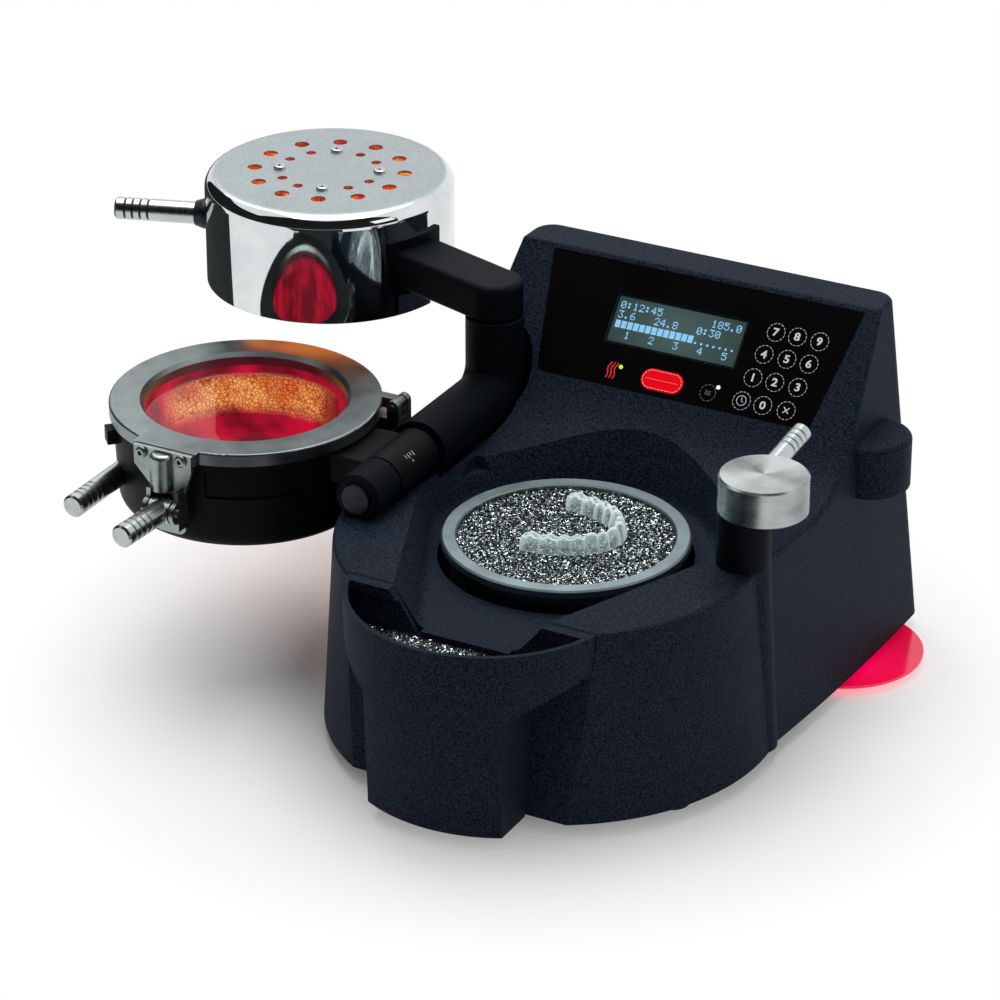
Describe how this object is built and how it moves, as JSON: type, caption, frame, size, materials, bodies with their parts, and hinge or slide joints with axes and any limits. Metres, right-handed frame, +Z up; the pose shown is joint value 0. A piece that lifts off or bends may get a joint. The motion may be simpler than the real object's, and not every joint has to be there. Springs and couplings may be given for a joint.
{
  "type": "dental pressure former",
  "caption": "Bench machine that heats a round plastic foil under a swinging heater and presses it by air over a dental model in a granulate cup.",
  "frame": {"origin": "on the table, in the middle of the whole machine in plan", "axes": "+X to the right seen from the front, +Y to the back, +Z up"},
  "size_m": [0.4886, 0.3704, 0.2156],
  "materials": {
    "housing_shell": "fine textured matt",
    "base_plate": "satin",
    "rubber_feet": "matt",
    "case_screws": "satin",
    "scan_lamp": "glossy, lit red",
    "foil_disc": "glossy, translucent",
    "panel_membrane": "satin",
    "display_window": "clear",
    "display_module": "lit display",
    "circuit_board": "lacquered",
    "red_button": "satin",
    "round_key": "satin",
    "signal_lamps": "clear, lit",
    "side_boss": "fine textured matt",
    "bearing_block": "satin",
    "hinge_shaft": "satin",
    "support_tube": "fine textured matt",
    "swivel_pin": "satin",
    "heater_arm": "fine textured matt coat",
    "arm_bracket": "matt",
    "heater_dome": "mirror polished side, satin top",
    "dome_screws": "bright",
    "heater_reflector": "bright",
    "heating_elements": "glowing",
    "heater_grip_root": "matt",
    "heater_grip": "satin turned",
    "chamber_body": "fine textured matt coat",
    "chamber_seal": "matt",
    "clamped_foil": "clear",
    "clamp_ring": "satin turned",
    "ring_hinge": "satin",
    "chamber_grip": "satin turned",
    "latch_bracket": "satin",
    "latch_screws": "bright",
    "latch_lever": "satin turned",
    "lock_post": "fine textured matt coat",
    "lock_knob": "satin turned",
    "lock_grip": "satin turned",
    "model_cup": "satin",
    "cup_granulate": "loose grains",
    "aligner": "clear",
    "granulate_tray": "fine textured matt",
    "tray_granulate": "loose grains",
    "power_inlet": "matt",
    "power_switch": "satin",
    "air_inlet": "nickel plated",
    "air_valve": "satin",
    "power_supply": "satin case",
    "key_7": "satin",
    "key_8": "satin",
    "key_9": "satin",
    "key_4": "satin",
    "key_5": "satin",
    "key_6": "satin",
    "key_1": "satin",
    "key_2": "satin",
    "key_3": "satin",
    "key_clock": "satin",
    "key_0": "satin",
    "key_clear": "satin"
  },
  "bodies": {
    "machine": {"housing_shell": "housing_shell", "base_plate": "base_plate", "rubber_feet": "rubber_feet", "case_screws": "case_screws", "scan_lamp": "scan_lamp", "panel_membrane": "panel_membrane", "display_window": "display_window", "display_module": "display_module", "circuit_board": "circuit_board", "signal_lamps": "signal_lamps", "side_boss": "side_boss", "bearing_block": "bearing_block", "hinge_shaft": "hinge_shaft", "support_tube": "support_tube", "swivel_pin": "swivel_pin", "lock_post": "lock_post", "power_inlet": "power_inlet", "air_inlet": "air_inlet", "air_valve": "air_valve", "power_supply": "power_supply"},
    "heater": {"heater_arm": "heater_arm", "arm_bracket": "arm_bracket", "heater_dome": "heater_dome", "dome_screws": "dome_screws", "heater_reflector": "heater_reflector", "heating_elements": "heating_elements", "heater_grip_root": "heater_grip_root", "heater_grip": "heater_grip"},
    "chamber": {"chamber_body": "chamber_body", "chamber_seal": "chamber_seal", "clamped_foil": "clamped_foil", "ring_hinge": "ring_hinge", "chamber_grip": "chamber_grip"},
    "ring": {"clamp_ring": "clamp_ring", "latch_bracket": "latch_bracket", "latch_screws": "latch_screws"},
    "latch": {"latch_lever": "latch_lever"},
    "lock": {"lock_knob": "lock_knob", "lock_grip": "lock_grip"},
    "cup": {"model_cup": "model_cup", "cup_granulate": "cup_granulate", "aligner": "aligner"},
    "tray": {"granulate_tray": "granulate_tray", "tray_granulate": "tray_granulate"},
    "spare_foil": {"foil_disc": "foil_disc"},
    "switch": {"power_switch": "power_switch"},
    "start_button": {"red_button": "red_button"},
    "air_button": {"round_key": "round_key"},
    "button_7": {"key_7": "key_7"},
    "button_8": {"key_8": "key_8"},
    "button_9": {"key_9": "key_9"},
    "button_4": {"key_4": "key_4"},
    "button_5": {"key_5": "key_5"},
    "button_6": {"key_6": "key_6"},
    "button_1": {"key_1": "key_1"},
    "button_2": {"key_2": "key_2"},
    "button_3": {"key_3": "key_3"},
    "button_clock": {"key_clock": "key_clock"},
    "button_0": {"key_0": "key_0"},
    "button_clear": {"key_clear": "key_clear"}
  },
  "joints": [
    {"name": "heater_swing", "type": "hinge", "parent": "machine", "child": "heater", "pos_m": [-0.00016, 0.07452, 0.17], "axis": [0, 0, 1], "range_deg": [-15, 64]},
    {"name": "chamber_flip", "type": "hinge", "parent": "machine", "child": "chamber", "pos_m": [-0.00016, -0.03148, 0.124], "axis": [0, 1, 0], "range_deg": [0, 180]},
    {"name": "clamp_ring_open", "type": "hinge", "parent": "chamber", "child": "ring", "pos_m": [-0.02326, 0.00952, 0.138], "axis": [0, -1, 0], "range_deg": [-85, 0]},
    {"name": "latch_lift", "type": "hinge", "parent": "ring", "child": "latch", "pos_m": [-0.09666, -0.11108, 0.11], "axis": [1, 0, 0], "range_deg": [-35, 0]},
    {"name": "lock_turn", "type": "hinge", "parent": "machine", "child": "lock", "pos_m": [0.19714, -0.02538, 0.14], "axis": [0, 0, 1], "range_deg": [-180, 0]},
    {"name": "cup_lift", "type": "slide", "parent": "machine", "child": "cup", "axis": [0, 0, -1], "range_m": [-0.04, 0]},
    {"name": "tray_pull", "type": "slide", "parent": "machine", "child": "tray", "axis": [0, -1, 0], "range_m": [0, 0.06]},
    {"name": "spare_foil_pull", "type": "slide", "parent": "machine", "child": "spare_foil", "axis": [1, 0, 0], "range_m": [0, 0.07]},
    {"name": "power_rocker", "type": "hinge", "parent": "machine", "child": "switch", "pos_m": [0.06184, 0.15592, 0.038], "axis": [1, 0, 0], "range_deg": [0, 14]},
    {"name": "start_button_press", "type": "slide", "parent": "machine", "child": "start_button", "axis": [0, 0.7627, -0.6468], "range_m": [0, 0.0004], "stiffness_N_per_m": 900},
    {"name": "air_button_press", "type": "slide", "parent": "machine", "child": "air_button", "axis": [0, 0.7627, -0.6468], "range_m": [0, 0.0004], "stiffness_N_per_m": 900},
    {"name": "press_7", "type": "slide", "parent": "machine", "child": "button_7", "axis": [0, 0.7627, -0.6468], "range_m": [0, 0.0004], "stiffness_N_per_m": 900},
    {"name": "press_8", "type": "slide", "parent": "machine", "child": "button_8", "axis": [0, 0.7627, -0.6468], "range_m": [0, 0.0004], "stiffness_N_per_m": 900},
    {"name": "press_9", "type": "slide", "parent": "machine", "child": "button_9", "axis": [0, 0.7627, -0.6468], "range_m": [0, 0.0004], "stiffness_N_per_m": 900},
    {"name": "press_4", "type": "slide", "parent": "machine", "child": "button_4", "axis": [0, 0.7627, -0.6468], "range_m": [0, 0.0004], "stiffness_N_per_m": 900},
    {"name": "press_5", "type": "slide", "parent": "machine", "child": "button_5", "axis": [0, 0.7627, -0.6468], "range_m": [0, 0.0004], "stiffness_N_per_m": 900},
    {"name": "press_6", "type": "slide", "parent": "machine", "child": "button_6", "axis": [0, 0.7627, -0.6468], "range_m": [0, 0.0004], "stiffness_N_per_m": 900},
    {"name": "press_1", "type": "slide", "parent": "machine", "child": "button_1", "axis": [0, 0.7627, -0.6468], "range_m": [0, 0.0004], "stiffness_N_per_m": 900},
    {"name": "press_2", "type": "slide", "parent": "machine", "child": "button_2", "axis": [0, 0.7627, -0.6468], "range_m": [0, 0.0004], "stiffness_N_per_m": 900},
    {"name": "press_3", "type": "slide", "parent": "machine", "child": "button_3", "axis": [0, 0.7627, -0.6468], "range_m": [0, 0.0004], "stiffness_N_per_m": 900},
    {"name": "press_clock", "type": "slide", "parent": "machine", "child": "button_clock", "axis": [0, 0.7627, -0.6468], "range_m": [0, 0.0004], "stiffness_N_per_m": 900},
    {"name": "press_0", "type": "slide", "parent": "machine", "child": "button_0", "axis": [0, 0.7627, -0.6468], "range_m": [0, 0.0004], "stiffness_N_per_m": 900},
    {"name": "press_clear", "type": "slide", "parent": "machine", "child": "button_clear", "axis": [0, 0.7627, -0.6468], "range_m": [0, 0.0004], "stiffness_N_per_m": 900}
  ]
}
